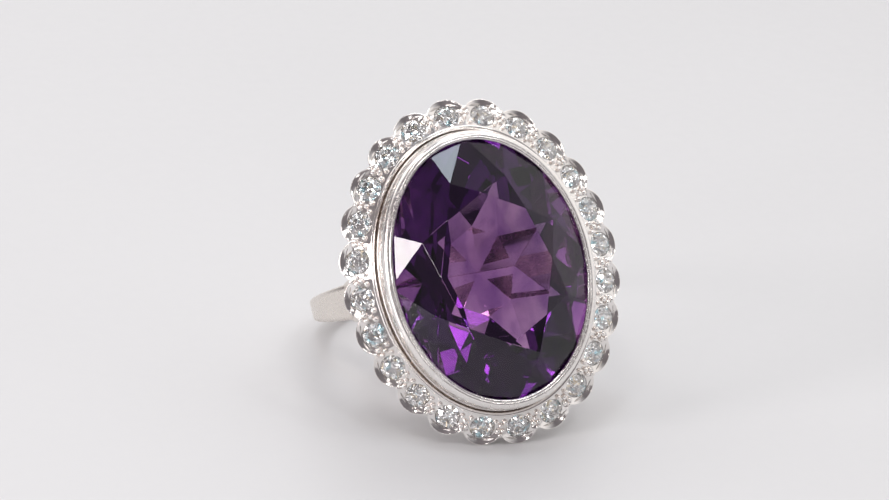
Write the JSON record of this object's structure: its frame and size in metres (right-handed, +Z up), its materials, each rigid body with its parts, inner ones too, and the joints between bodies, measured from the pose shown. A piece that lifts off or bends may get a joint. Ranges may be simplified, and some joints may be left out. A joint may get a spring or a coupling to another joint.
{
  "type": "cocktail ring",
  "caption": "Oval cluster ring: a large faceted violet centre stone in a smooth raised collet, ringed by a sloping scalloped halo of small white stones, on a plain tapered shank.",
  "frame": {"origin": "on the surface that the ring lies on, under the middle of its bounding box", "axes": "+Z up from that surface, -Y towards the front, where the table of the centre stone faces (tipped up 26 degrees), +X to the right of the table. The finger hole's axis leans back from the vertical."},
  "size_m": [0.019, 0.026, 0.0206],
  "materials": {
    "white_gold": "polished, lightly worn",
    "amethyst": "faceted and polished",
    "diamond": "faceted and polished"
  },
  "bodies": {
    "root": {"base_bow_north": "white_gold", "base_bow_south": "white_gold", "centre_collet": "white_gold", "centre_stone": "amethyst", "collet_bearer": "white_gold", "gallery_pillar_01": "white_gold", "gallery_pillar_02": "white_gold", "gallery_pillar_03": "white_gold", "gallery_pillar_04": "white_gold", "gallery_pillar_05": "white_gold", "gallery_pillar_06": "white_gold", "gallery_pillar_07": "white_gold", "gallery_pillar_08": "white_gold", "gallery_pillar_09": "white_gold", "gallery_pillar_10": "white_gold", "gallery_pillar_11": "white_gold", "gallery_pillar_12": "white_gold", "halo_plate": "white_gold", "shank": "white_gold", "shoulder_fork_left": "white_gold", "shoulder_fork_right": "white_gold", "small_stone_01": "diamond", "small_stone_02": "diamond", "small_stone_03": "diamond", "small_stone_04": "diamond", "small_stone_05": "diamond", "small_stone_06": "diamond", "small_stone_07": "diamond", "small_stone_08": "diamond", "small_stone_09": "diamond", "small_stone_10": "diamond", "small_stone_11": "diamond", "small_stone_12": "diamond", "small_stone_13": "diamond", "small_stone_14": "diamond", "small_stone_15": "diamond", "small_stone_16": "diamond", "small_stone_17": "diamond", "small_stone_18": "diamond", "small_stone_19": "diamond", "small_stone_20": "diamond", "small_stone_21": "diamond", "small_stone_22": "diamond", "small_stone_23": "diamond", "small_stone_24": "diamond"}
  },
  "joints": []
}
